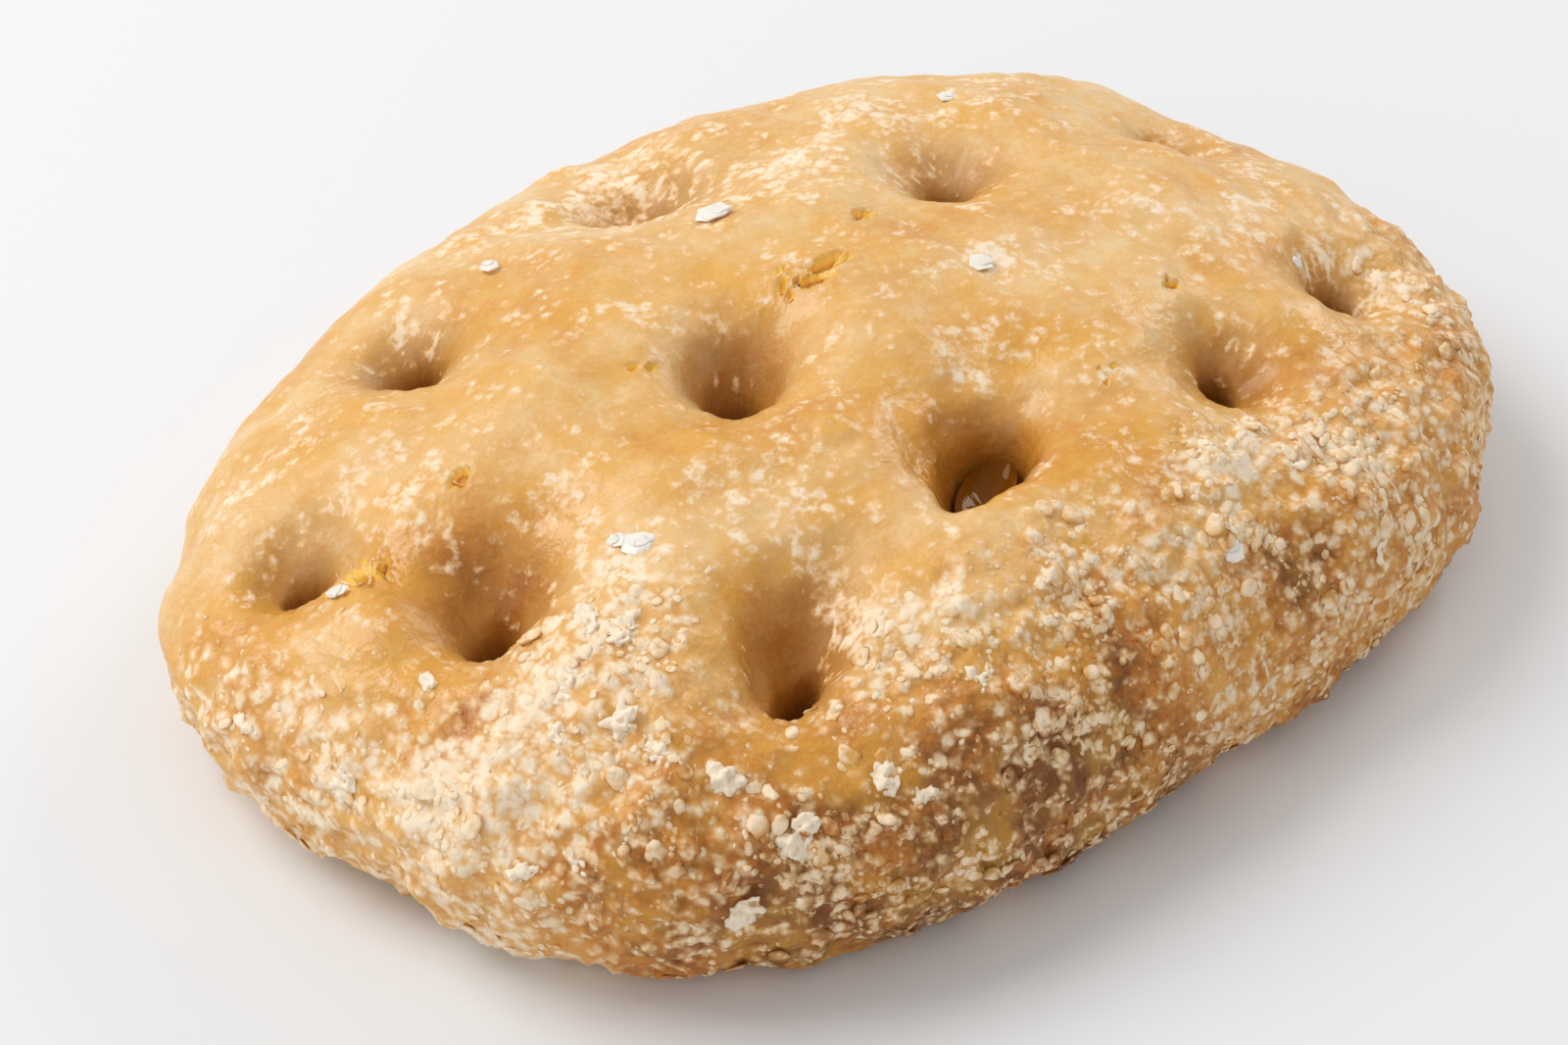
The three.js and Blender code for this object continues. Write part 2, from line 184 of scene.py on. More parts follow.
# where the crust is floured, thinly dusted, oily, darker and deep: darker is browner baking and also painted
# shade on the lower front and in some dimples, and deep darkens the dimples with painted shade, partly their
# own oil-browned colour
zoneForm = {
    # direction in degrees, and the share of the outline where the thick flour starts there
    "flourDirections": (158, 170, 182, 192, 201, 210, 222, 243, 267, 294, 313, 323, 335, 352, 368),
    "flourStarts": (1.25, 0.97, 0.9, 0.8, 0.63, 0.6, 0.68, 0.67, 0.68, 0.7, 0.72, 0.78, 0.84, 0.92, 1.3),
    "flourSeam": 100,  # direction at the back from which the directions are counted
    "flourSoftness": 0.12,
    "flourOnSide": 0.2,  # how much it gains low on the side
    "flourDepths": (2.2, 5.0),  # depths of a funnel between which it thins
    "flourLostDeep": 0.8,
    "flourLostOily": 0.75,
    "dustedBase": 0.12,
    "dustedMost": 1.4,
    "dustedLostOily": 0.5,
    # darker low on the side all round: browner baking underneath, and painted shade where the low side faces
    # away from the light
    "bakedAndShadedOnSide": 0.35,
    # the colour goes darker down the funnels and cores: painted shade, partly the crust's own browner colour
    # where oil lies
    "funnelDepths": (1.0, 7.5),  # depths of a funnel between which it goes darker
    "funnelShade": 0.65,
    "coreDepths": (0.4, 5),
    # waves that make each zone uneven: size, strength, seed
    "flourWaves": [(17, 0.025, 11), (6, 0.025, 12)],
    "oilyWaves": [(7, 0.25, 13)],
    "bakedWaves": [(24, 0.12, 14)],
    "dustedWaves": [(12, 0.18, 15)],
    # each place: x, y, half length, half width, turn, strength
    "oilyPlaces": [
        (-67, -16, 11, 5, -60, 1), (-42, -50.5, 12, 4.5, -38, 1), (-35, -54, 8, 4, -10, 1),
        (-76, 7, 9, 5, 80, 1), (-12, -17, 12, 5, 10, 1), (-47, -8, 10, 5, -20, 1), (22, -20, 14, 5, -12, 1),
        (-62, 2, 7, 6, 0, 1), (3, 6, 9, 6, 20, 1), (-28, 20, 14, 9, 20, 1), (50, -34, 8, 5, -30, 1),
        (1, -29, 9, 9, 0, 1), (1, -29, 7, 7, 0, 1), (11, -34, 6, 5, 0, 1), (13, -41, 9, 5, -15, 1),
    ],
    # darker places: browner baking, and painted shade on the lower front and inside some dimples
    "bakedAndShadedPlaces": [
        (64, -45, 22, 12, 50, 0.35), (44, -62, 30, 9, 12, 0.2), (-26, -64, 32, 9, 6, 1.15),
        (-58, -56, 15, 8, -40, 0.9), (-42, -51, 12, 4.5, -38, 0.3), (-68, -19, 12, 6, -70, 0.25),
        (-41, -60, 10, 4, -10, 0.4), (30, -59, 14, 5, 15, 0.6), (-61, 0, 8, 7, 0, 0.5),
        (2, -63, 12, 5, 0, 0.4), (80, -5, 10, 22, 0, 0.2), (-50, -11, 8, 5, 30, 0.2),
        (-6, -17, 9, 5, 0, 0.25), (-54, 42, 14, 6, 35, 0.3), (30, 60, 34, 6, -8, 0.15),
        (1.5, -28.5, 8, 9, 60, 1.0), (-34, -38, 8, 8, 0, 0.8), (-55, -11, 7, 7, 0, 0.4),
        (36, -31, 6, 6, 0, 0.4), (-14, 0, 7, 7, 0, 0.4), (13, -42, 9, 6, -20, 0.35), (51, -15, 9, 8, 0, 0.3),
    ],
    "dustedPlaces": [
        (-51, -27, 9, 7, -20, 0.85), (-55, -39, 13, 7, -40, 0.7), (-82, -6, 5, 13, 8, 0.8),
        (-67, -34, 8, 12, -40, 0.7), (-26, -21, 13, 8, 0, 0.9), (-2, 48, 16, 8, 5, 1.2),
        (14, 30, 18, 10, 0, 0.6), (50, 34, 18, 10, -30, 0.4), (22, -6, 9, 7, 0, 0.9), (12, -17, 9, 6, 0, 0.8),
        (21, -29, 5, 5, 0, 0.9), (43, -2, 11, 5, -30, 0.4), (53, -13, 8, 8, 0, 0.5), (68, -25, 8, 12, 0, 0.8),
        (-46, -7, 8, 6, 0, 0.6), (-57, 31, 10, 9, 0, 0.5), (-24, -38, 5, 8, 0, 0.9),
        (41, -45, 16, 8, -20, 0.6), (22, -47, 14, 5, -8, 0.9), (36, -20, 6, 5, 0, 0.6),
        (-20, -47, 12, 5, -10, 0.8), (-48, -20, 9, 6, 0, 0.6), (-54, 9, 8, 7, 0, 0.6),
        (-67, 24, 9, 8, 0, 0.5), (-15, 11, 8, 6, 0, 0.6), (-5, 30, 14, 6, 0, 0.5), (30, 33, 20, 8, -20, 0.4),
        (-30, 44, 16, 7, 20, 0.5), (72, 5, 8, 20, 0, 0.4), (-72, -8, 6, 14, 0, 0.5), (-74, -28, 5, 9, 30, 0.9),
    ],
}


def inPlaces(x, y, places):
    total = np.zeros(len(x))
    for *oval, strength in places:
        total += strength * bell(ovalShare(x, y, *oval))
    return total


def zones(points):
    # how floured, dusted, oily, darker (baked, and painted shade) and deep (painted shade in the dimples) each
    # point of the crust is
    x, y, z = points.T
    form = zoneForm
    angle, share = polar(x, y)
    degrees = np.degrees(angle) % 360
    degrees = np.where(degrees < form["flourSeam"], degrees + 360, degrees)
    start = np.interp(degrees, form["flourDirections"], form["flourStarts"])
    lowSide = np.clip((loafForm["girthHeight"] - z) / loafForm["girthHeight"], 0, 1)
    depth = sum(funnelDepth(dimple, x, y) for dimple in dimples)
    core = sum(coreDepth(dimple, x, y) for dimple in dimples)
    oily = np.clip(inPlaces(x, y, form["oilyPlaces"]) * layered(points, form["oilyWaves"], 1), 0, 1)
    reached = share + layered(points, form["flourWaves"]) + form["flourOnSide"] * lowSide
    floured = smooth(start - form["flourSoftness"], start + form["flourSoftness"], reached)
    kept = 1 - form["flourLostDeep"] * smooth(*form["flourDepths"], depth)
    floured *= kept * (1 - form["flourLostOily"] * oily)
    # darker: browner baking, with painted shade on the lower front and in some dimples
    bakedAndShaded = layered(points, form["bakedWaves"], inPlaces(x, y, form["bakedAndShadedPlaces"]))
    dusted = layered(points, form["dustedWaves"], inPlaces(x, y, form["dustedPlaces"])) + form["dustedBase"]
    # painted shade down the dimples, partly their own oil-browned colour
    deep = smooth(*form["funnelDepths"], depth) * form["funnelShade"] + smooth(*form["coreDepths"], core)
    return {
        "floured": floured,
        "dusted": np.clip(dusted, 0, form["dustedMost"]) * (1 - form["dustedLostOily"] * oily),
        "oily": oily,
        "bakedAndShaded": np.clip(bakedAndShaded + form["bakedAndShadedOnSide"] * lowSide, 0, 1),
        "deep": np.where(z > loafForm["girthHeight"], np.clip(deep, 0, 1), 0),
    }


crust = {
    "cuts": 127,  # of each edge of the cube that the ball starts from
    "profileSteps": 600,
    "baseWeight": 0.15,  # how densely the base and the lower side are divided, against the crown
    "sideWeight": 0.7,
    "gatherFront": 0.25,  # draws the divisions towards the floured front
    "frontAngle": 270,
    "gatherDimple": (0.5, 9),  # pull and reach
    "gatherPore": (0.45, 5),
    "gatherFade": 0.2,  # share of the outline over which the pull comes in from the edge
    "unevenness": [(26, 0.35, 1), (11, 0.22, 2), (5, 0.10, 3)],  # size, height, seed
    "flouredUnevenness": [(9, 0.22, 4), (4.2, 0.2, 5), (2.4, 0.14, 6)],  # more of it where it is floured
    "reliefStart": (0.5, 4),  # heights between which all relief comes in
    # soft folds and short pale dashes that run down into each dimple
    "puckers": {
        "foldHeight": 0.08,
        "foldCounts": (7, 12, 19),
        "foldWander": 0.8,
        "foldSize": 8,
        "foldSeed": 50,
        "dashHeight": 0.1,
        "dashSize": 1.1,
        "dashWaves": 14,
        "dashLimits": (0.5, 1.8),
        "dashSeed": 90,
        "rollRadius": 6,  # of the ring that the wall is mapped to: the larger, the narrower the dashes
        "rollLength": 0.3,  # the smaller, the longer the dashes
        "stretch": 0.3,
        "lean": 0.5,
        "place": 0.9,  # where on the wall they are strongest, as a share of the funnel's radius
        "spread": 0.5,
        "fullDip": 6,  # dip of a funnel that has them at full height
        "lostFloured": 0.7,
        "lostOily": 0.6,
    },
    # burst bubbles; distances are shares of a bubble's size
    "pores": {
        "ragged": [(1.9, 0.16, 61), (0.9, 0.1, 62)],
        "hole": (0.65, 1.1),  # from the floor to the crust
        "rimHeight": 0.2,
        "rimPlace": 1.35,
        "rimWidth": 0.3,
        "stain": (0.6, 1.15),
        "stainBase": 0.45,
        "stainByDepth": 0.4,
        # x, y, half length, half width, turn, depth
        "places": [
            (4.8, 5.3, 3.0, 1.5, -5, 1.7), (1.9, 3.9, 2.4, 0.9, -19, 1.3), (0.1, 8.4, 0.8, 0.6, 0, 0.7),
            (-1.5, 6.2, 1.3, 0.6, 55, 0.8), (-1.6, 4.4, 0.9, 0.5, 60, 0.6), (15.7, 12.8, 1.7, 1.2, 0, 1.5),
            (-66.2, 2.4, 3.3, 2.5, -30, 0.35), (-65.7, 0.9, 1.3, 1.1, 50, 1.5),
            (-63.0, 0.8, 0.7, 1.3, -30, 1.2), (-50.3, 3.2, 1.5, 0.8, 10, 1.2),
            (38.5, -19.8, 1.2, 0.8, 0, 1.0), (-24.1, 5.3, 0.9, 0.6, 0, 0.7), (-22.3, 4.4, 0.7, 0.5, 0, 0.6),
            (21.6, -29.0, 0.5, 0.4, 0, 0.5), (19.4, -30.4, 0.5, 0.3, 30, 0.5),
            (20.0, -28.2, 0.4, 0.3, 0, 0.5),
        ],
    },
    # blistered places with thin pale skin; depths are shares of the rise, distances of the radius
    "blisters": {
        "dome": (0.5, 1.1),
        "moat": (0.4, 1.25, 0.2),  # depth, place, width
        "pit": (0.8, 0.16),  # depth, width
        # x, y, radius, rise
        "places": [(-12.7, -19.5, 2.6, 0.45), (20.3, -29.5, 2.6, 0.3), (-12.0, 8.0, 2.0, 0.3)],
    },
    # half-sunk lumps of baked flour, as relief of the crust itself
    "lumps": {
        "seed": 21,
        "number": 7500,
        "crowding": 1.5,  # how strongly they keep to the flour
        "radii": (0.5, 1.4),
        "fewLarge": 2.6,
        "rise": 0.24,  # height as a share of the radius
        "riseSpread": (0.5, 1.2),
        "pale": (0.1, 1),
        "reach": 1.15,
        "bump": (0.25, 1.1),
    },
}


def evenProfile():
    # half the section, from the middle of the base round to the top, against an even climb from 0 to 1
    bend = np.linspace(0, math.pi / 2, crust["profileSteps"])
    base, girth = loafForm["baseShare"], loafForm["girthHeight"]
    share = np.concatenate([
        base * np.linspace(0, 1, len(bend)), base + (1 - base) * np.sin(bend),
        np.cos(bend) ** (2 / loafForm["crownSpread"])])
    height = np.concatenate([
        np.zeros(len(bend)), girth * (1 - np.cos(bend)),
        girth + (loafForm["height"] - girth) * np.sin(bend) ** (2 / loafForm["crownRise"])])
    weight = np.repeat([crust["baseWeight"], crust["sideWeight"], 1], len(bend))[1:]
    length = np.hypot(np.diff(share) * loafForm["meanRadius"], np.diff(height))
    climb = np.concatenate([[0], np.cumsum(weight * length * (share[1:] + share[:-1]))])
    return climb / climb[-1], share, height


def addPiece(name, mesh):
    piece = bpy.data.objects.new(name, mesh)
    bpy.context.collection.objects.link(piece)
    return piece


def makeMesh(name, bm):
    mesh = bpy.data.meshes.new(name)
    bm.to_mesh(mesh)
    bm.free()
    return addPiece(name, mesh)


def shadeSmooth(mesh):
    mesh.polygons.foreach_set("use_smooth", np.ones(len(mesh.polygons), dtype=bool))


def readPoints(mesh, what="co"):
    values = np.empty(len(mesh.vertices) * 3)
    mesh.vertices.foreach_get(what, values)
    return values.reshape(-1, 3)


def writePoints(mesh, points):
    mesh.vertices.foreach_set("co", points.ravel())
    mesh.update()


def writeAttributes(mesh, values):
    for name, value in values.items():
        layer = mesh.attributes.new(name, "FLOAT", "POINT")
        layer.data.foreach_set("value", np.asarray(value, dtype=np.float32))


def treeOf(points):
    tree = kdtree.KDTree(len(points))
    for index, point in enumerate(points):
        tree.insert(point, index)
    tree.balance()
    return tree


def gather(x, y, centreX, centreY, pull, reach, hold):
    # draws points of the plan towards a place that needs more of them
    fromX, fromY = x - centreX, y - centreY
    less = pull * hold * bell(np.hypot(fromX, fromY) / reach)
    return x - fromX * less, y - fromY * less


def ballToCrust(ball):
    climbs, shares, heights = evenProfile()
    ball = np.tan(ball * math.pi / 4)
    ball /= np.linalg.norm(ball, axis=1)[:, None]
    climb = (1 + ball[:, 2]) / 2
    angle = np.arctan2(ball[:, 1], ball[:, 0])
    angle = angle - crust["gatherFront"] * np.sin(angle - math.radians(crust["frontAngle"]))
    share = np.interp(climb, climbs, shares)
    radius = share * outline(angle)
    x = loafForm["heart"][0] + radius * np.cos(angle)
    y = loafForm["heart"][1] + radius * np.sin(angle)
    crown = climb > climbs[2 * crust["profileSteps"]]
    hold = np.where(crown, smooth(0, crust["gatherFade"], 1 - share), 0)
    for dimple in dimples:
        x, y = gather(x, y, dimple["x"], dimple["y"], *crust["gatherDimple"], hold)
    for pore in crust["pores"]["places"]:
        x, y = gather(x, y, pore[0], pore[1], *crust["gatherPore"], hold)
    z = np.where(crown, crustHeight(x, y), np.interp(climb, climbs, heights))
    return np.stack([x, y, z], axis=1)


def puckers(points):
    form = crust["puckers"]
    x, y = points[:, 0], points[:, 1]
    folds = np.zeros(len(points))
    dashes = np.zeros(len(points))
    for number, dimple in enumerate(dimples):
        away = fromDimple(dimple, x, y, form["stretch"], form["lean"])
        around = np.arctan2(y - dimple["y"], x - dimple["x"])
        wall = bell((away / dimple["wide"] - form["place"]) / form["spread"])
        wall *= min(1, dimple["dip"] / form["fullDip"])
        for count in form["foldCounts"]:
            wander = waves(points, form["foldSize"], form["foldSeed"] + count + number)
            folds += wall * np.cos(count * around + form["foldWander"] * wander) / 2
        ring = form["rollRadius"]
        unrolled = np.stack([np.cos(around) * ring, np.sin(around) * ring, away * form["rollLength"]], axis=1)
        pattern = waves(unrolled, form["dashSize"], form["dashSeed"] + number, form["dashWaves"])
        dashes += wall * smooth(*form["dashLimits"], pattern)
    return folds, dashes


def poreShape(points):
    # how deep the burst bubbles sink the crust, and how much of their amber stain a point has
    form = crust["pores"]
    sunk = np.zeros(len(points))
    stain = np.zeros(len(points))
    ragged = layered(points, form["ragged"], 1)
    for *oval, depth in form["places"]:
        away = ovalShare(points[:, 0], points[:, 1], *oval) * ragged
        rim = bell((away - form["rimPlace"]) / form["rimWidth"])
        rim *= min(form["rimHeight"], form["rimHeight"] * depth)
        sunk += depth * (1 - smooth(*form["hole"], away)) - rim
        strength = min(1, form["stainBase"] + form["stainByDepth"] * depth)
        stain = np.maximum(stain, (1 - smooth(*form["stain"], away)) * strength)
    return sunk, stain


def blisterHeight(points):
    form = crust["blisters"]
    moatDepth, moatPlace, moatWidth = form["moat"]
    pitDepth, pitWidth = form["pit"]
    total = np.zeros(len(points))
    for centreX, centreY, radius, rise in form["places"]:
        away = np.hypot(points[:, 0] - centreX, points[:, 1] - centreY) / radius
        total += rise * (1 - smooth(*form["dome"], away))
        total -= rise * moatDepth * bell((away - moatPlace) / moatWidth)
        total -= rise * pitDepth * bell(away / pitWidth)
    return total


def lumpHeight(points, floured):
    # how high the half-sunk lumps raise the crust, and how pale their tops are
    form = crust["lumps"]
    draws = np.random.RandomState(form["seed"])
    weight = floured ** form["crowding"]
    chosen = draws.choice(len(points), form["number"], replace=False, p=weight / weight.sum())
    tree = treeOf(points)
    raised = np.zeros(len(points))
    top = np.zeros(len(points))
    small, large = form["radii"]
    for index in chosen:
        radius = small + (large - small) * draws.uniform() ** form["fewLarge"]
        rise = form["rise"] * draws.uniform(*form["riseSpread"]) * radius
        pale = draws.uniform(*form["pale"])
        near = tree.find_range(points[index], radius * form["reach"])
        members = np.array([found[1] for found in near])
        away = np.array([found[2] for found in near]) / radius
        bump = 1 - smooth(*form["bump"], away)
        raised[members] = np.maximum(raised[members], rise * bump)
        top[members] = np.maximum(top[members], pale * bump)
    return raised, top


def makeCrust():
    # a cube's divided faces are blown up to a ball, whose points are then laid on the loaf's section
    bm = bmesh.new()
    bmesh.ops.create_cube(bm, size=2)
    bmesh.ops.subdivide_edges(bm, edges=bm.edges[:], cuts=crust["cuts"], use_grid_fill=True)
    bmesh.ops.recalc_face_normals(bm, faces=bm.faces[:])
    piece = makeMesh("bakedCrust", bm)
    mesh = piece.data
    points = ballToCrust(readPoints(mesh))
    writePoints(mesh, points)
    normals = readPoints(mesh, "normal")
    zone = zones(points)
    above = points[:, 2] > loafForm["girthHeight"]
    form = crust["puckers"]
    folds, dashes = puckers(points)
    dashes *= (1 - form["lostOily"] * zone["oily"]) * above
    zone["streak"] = np.clip(dashes, 0, 1)
    sunk, stain = poreShape(points)
    lump, lumpTop = lumpHeight(points, zone["floured"])
    raised = layered(points, crust["unevenness"])
    raised += layered(points, crust["flouredUnevenness"]) * zone["floured"]
    puckered = form["foldHeight"] * folds + form["dashHeight"] * dashes
    raised += puckered * (1 - form["lostFloured"] * zone["floured"])
    raised += blisterHeight(points) - sunk + lump
    raised *= smooth(*crust["reliefStart"], points[:, 2])
    points = points + normals * raised[:, None]
    points[:, 2] = np.maximum(points[:, 2], 0)
    writePoints(mesh, points * mm)
    writeAttributes(mesh, zone | {"pore": stain * above, "lump": lumpTop})
    shadeSmooth(mesh)
    return piece, {"points": points, "normals": readPoints(mesh, "normal"), "zones": zone}


# small lumps of flour on the crust, each kind one joined mesh
crumbs = {
    "number": 2000,
    "radii": (0.45, 1.35),
    "fewLarge": 3,
    "length": (0.85, 1.45),  # length and width as shares of the radius
    "width": (0.7, 1.1),
    "flatness": 0.25,
    "height": (0.8, 1.3),  # as a share of the flatness
    "shape": (2, -0.4),  # subdivisions of the ball, and where it is cut flat below
    "rough": [(1.3, 0.12), (0.6, 0.05)],  # size and strength
    "sink": 0.14,  # how deep it sits, as a share of the radius
    "foot": 0,  # how pale its foot is, against its top
    "pale": (0.8, 1.6),
    "seed": 31,
    "roughSeed": 70,
    "clusters": [(15, 1, 41), (6, 0.5, 42)],
    "clusterBase": 0.35,
    "clusterLeast": 0.06,
}
grains = {
    "number": 2300,
    "radii": (0.2, 0.5),
    "fewLarge": 2,
    "length": (0.8, 1.5),
    "width": (0.7, 1.1),
    "flatness": 0.25,
    "shape": (2, -1),
    "rough": [(0.5, 0.15)],
    "sink": 0.05,
    "foot": 1,
    "pale": (0.6, 1.3),
    "seed": 32,
    "roughSeed": 75,
    "stray": 0.001,  # weight of the places without flour
}
flakes = {
    "length": 1.1,
    "width": (0.6, 0.9),
    "flatness": 0.17,
    "shape": (4, -0.5),
    "rough": [(3.2, 0.16), (1.5, 0.16), (0.9, 0.08), (0.55, 0.05)],
    "sink": 0.03,
    "foot": 0.4,
    "pale": 2.6,
    "seed": 33,
    "roughSeed": 80,
    # x, y, height on the loaf, size across
    "places": [
        (-49.1, -29.4, 33.5, 5.2), (-51.6, -25.2, 34, 4.2), (-56.1, -38.4, 31.5, 4.6),
        (-46.1, -57.2, 22.9, 5.4), (-50.1, -49.3, 27.4, 4.6), (-53.4, -57.9, 15.8, 4.4),
        (-55.1, -43.4, 30, 3.4), (-34.6, -58.1, 25.8, 3.8), (-32.1, -61.1, 23.6, 3.4),
        (-19.5, -55.5, 30.1, 4.0), (19, -52.6, 30.4, 3.4), (-67, -44.9, 21.4, 3.4),
        (-72, -40.4, 19.2, 3.2), (-68, -17.3, 27.9, 2.4), (-84.2, -1.6, 19.3, 2.6), (-80.2, -16.6, 19.2, 3.4),
        (33.7, -49.9, 30.7, 3.0), (38.4, -59.4, 20.9, 3.4), (-62, -34, 30, 3.6), (-58.5, -31, 32, 3.8),
    ],
}
clearOfBase = 2.2  # height under which none of the drawn lumps lies
slant = (0.3, 0.5, 0.81)  # a fixed direction, from which the two sideways axes are worked out
topStart = 0.75  # height on a lump, of 1, from which it is as pale as its top


def lumpShape(subdivisions, flatBottom):
    # one closed lump: its points and its triangles
    bm = bmesh.new()
    bmesh.ops.create_icosphere(bm, subdivisions=subdivisions, radius=1)
    for vert in bm.verts:
        vert.co.z = max(vert.co.z, flatBottom)
    bmesh.ops.triangulate(bm, faces=bm.faces[:])
    shape = np.array([vert.co[:] for vert in bm.verts])
    faces = np.array([[vert.index for vert in face.verts] for face in bm.faces])
    bm.free()
    return shape, faces


def turned(normals, spins):
    # for each place, three axes: two along the crust, turned by spin, and its normal
    side = np.cross(normals, slant)
    side /= np.linalg.norm(side, axis=1)[:, None]
    other = np.cross(normals, side)
    cosine, sine = np.cos(spins)[:, None], np.sin(spins)[:, None]
    return np.stack([side * cosine + other * sine, other * cosine - side * sine, normals], axis=1)


def dress(mesh, zone, chosen, heights, pale):
    # gives the points of each lump the zones of the crust under it, and how pale they are by their heights
    values = {key: np.repeat(value[chosen], len(heights)) for key, value in zone.items()}
    values["pore"] = values["streak"] = np.zeros(len(chosen) * len(heights))
    values["lump"] = np.tile(smooth(0, topStart, heights), len(chosen)) * np.repeat(pale, len(heights))
    writeAttributes(mesh, values)


def strew(name, kind, surface, chosen, radius, shares, spins, pale):
    # lumps of one kind on chosen points of the crust; shares are length, width and height over the radius
    shape, faces = lumpShape(*kind["shape"])
    normals = surface["normals"][chosen]
    places = surface["points"][chosen] - normals * (kind["sink"] * radius)[:, None]
    axes = turned(normals, spins)
    sizes = np.stack(shares, axis=1) * radius[:, None]
    local = shape[None, :, :] * sizes[:, None, :]
    flat = (np.einsum("pvk,pkj->pvj", local, axes) + places[:, None, :]).reshape(-1, 3)
    spokes = np.einsum("vk,pkj->pvj", shape, axes).reshape(-1, 3)
    outwards = np.repeat(sizes.mean(axis=1), len(shape))
    for size, strength in kind["rough"]:
        push = waves(flat, size, kind["roughSeed"] + int(10 * size)) * strength * outwards
        flat = flat + spokes * push[:, None]
    firsts = np.arange(len(chosen))[:, None, None] * len(shape)
    mesh = bpy.data.meshes.new(name)
    mesh.from_pydata((flat * mm).tolist(), [], (faces[None, :, :] + firsts).reshape(-1, 3).tolist())
    shadeSmooth(mesh)
    mesh.update()
    heights = kind["foot"] + (1 - kind["foot"]) * np.clip(shape[:, 2], 0, 1)
    dress(mesh, surface["zones"], chosen, heights, pale)
    return addPiece(name, mesh)


def strewByWeight(name, kind, surface, weight):
    points = surface["points"]
    weight = weight * (points[:, 2] > clearOfBase)
    draws = np.random.RandomState(kind["seed"])
    count = kind["number"]
    chosen = draws.choice(len(points), count, replace=False, p=weight / weight.sum())
    small, large = kind["radii"]
    radius = small + (large - small) * draws.uniform(size=count) ** kind["fewLarge"]
    length = draws.uniform(*kind["length"], count)
    width = draws.uniform(*kind["width"], count)
    height = np.full(count, kind["flatness"])
    if "height" in kind:
        height *= draws.uniform(*kind["height"], count)
    spins = draws.uniform(0, 2 * math.pi, count)
    pale = draws.uniform(*kind["pale"], count)
    return strew(name, kind, surface, chosen, radius, [length, width, height], spins, pale)


def makeCrumbs(surface):
    zone = surface["zones"]
    clusters = layered(surface["points"], crumbs["clusters"], crumbs["clusterBase"])
    weight = zone["floured"] ** 2 * (1 - zone["deep"]) * np.maximum(clusters, crumbs["clusterLeast"])
    return strewByWeight("flourCrumbs", crumbs, surface, weight)


def makeGrains(surface):
    zone = surface["zones"]
    weight = (zone["floured"] + grains["stray"]) * (1 - zone["deep"]) ** 2
    return strewByWeight("flourGrains", grains, surface, weight)


def nearestOnCrust(surface, places):
    tree = treeOf(surface["points"])
    return np.array([tree.find(place)[1] for place in places])


def makeFlakes(surface):
    draws = np.random.RandomState(flakes["seed"])
    chosen = nearestOnCrust(surface, [place[:3] for place in flakes["places"]])
    count = len(chosen)
    radius = np.array([place[3] for place in flakes["places"]]) / 2
    width = draws.uniform(*flakes["width"], count)
    spins = draws.uniform(0, 2 * math.pi, count)
    shares = [np.full(count, flakes["length"]), width, np.full(count, flakes["flatness"])]
    pale = np.full(count, flakes["pale"])
    return strew("flourFlakes", flakes, surface, chosen, radius, shares, spins, pale)


# torn strands of dough across the burst bubbles
webs = {
    "sides": 6,
    "steps": 12,
    "thinning": 0.4,  # of the middle, as a share of the ends
    "flatness": 0.6,
    "sag": 0.25,
    "sway": 0.15,
    "lumpiness": (0.8, 1.2),
    "height": 0.7,  # they are as pale as a lump of flour at this height
    "seed": 35,
    # x and y of the two ends, and the radius there
    "strands": [
        (1.0, 5.7, 5.6, 2.1, 0.22), (-0.2, 5.2, 1.4, 5.8, 0.3), (-0.2, 5.2, -0.7, 8.0, 0.26),
        (4.3, 8.1, 2.7, 6.4, 0.2), (-0.2, 5.2, -2.8, 6.1, 0.24), (-0.2, 5.2, -2.2, 3.7, 0.26),
        (-0.2, 5.2, -0.4, 2.7, 0.22), (-63.9, 1.7, -65.9, -1.1, 0.26), (-65.4, 3.6, -66.6, 1.1, 0.15),
        (-67.5, 2.9, -66.3, -0.3, 0.28), (-64.8, 2.0, -65.3, -0.2, 0.12), (-66.9, 4.8, -68.3, 1.2, 0.26),
        (-63.6, 2.0, -62.2, -0.3, 0.2), (-50.9, 3.8, -49.8, 2.4, 0.16), (15.0, 13.8, 16.4, 11.8, 0.16),
    ],
}


def makeWebs(surface):
    # each strand is a tube from rim to rim, thin and sunk in its middle
    draws = np.random.RandomState(webs["seed"])
    sides, steps = webs["sides"], webs["steps"]
    share = np.linspace(0, 1, steps)
    bow = 4 * share * (1 - share)  # 0 at the ends, 1 in the middle
    around = np.arange(sides) * 2 * math.pi / sides
    bm = bmesh.new()
    for startX, startY, endX, endY, thickness in webs["strands"]:
        start, end = crustPoint(startX, startY), crustPoint(endX, endY)
        line = start + (end - start) * share[:, None]
        line += bow[:, None] * np.append(draws.normal(0, webs["sway"], 2), -webs["sag"])
        ahead = (end - start) / np.linalg.norm(end - start)
        side = np.cross(ahead, [0, 0, 1])
        side /= np.linalg.norm(side)
        up = np.cross(side, ahead) * webs["flatness"]
        radius = thickness * (1 - (1 - webs["thinning"]) * bow) * draws.uniform(*webs["lumpiness"], steps)
        spokes = side * np.cos(around)[:, None] + up * np.sin(around)[:, None]
        loops = []
        for middle, wide in zip(line, radius):
            loops.append([bm.verts.new((middle + spoke * wide) * mm) for spoke in spokes])
        for near, far in zip(loops, loops[1:]):
            for i in range(sides):
                bm.faces.new([near[i], near[i - 1], far[i - 1], far[i]])
        bm.faces.new(loops[0])
        bm.faces.new(loops[-1][::-1])
    bmesh.ops.recalc_face_normals(bm, faces=bm.faces[:])
    piece = makeMesh("poreWebs", bm)
    shadeSmooth(piece.data)
    each = sides * steps
    chosen = nearestOnCrust(surface, readPoints(piece.data)[::each] / mm)
    dress(piece.data, surface["zones"], chosen, np.full(each, webs["height"]), np.ones(len(chosen)))
    return piece


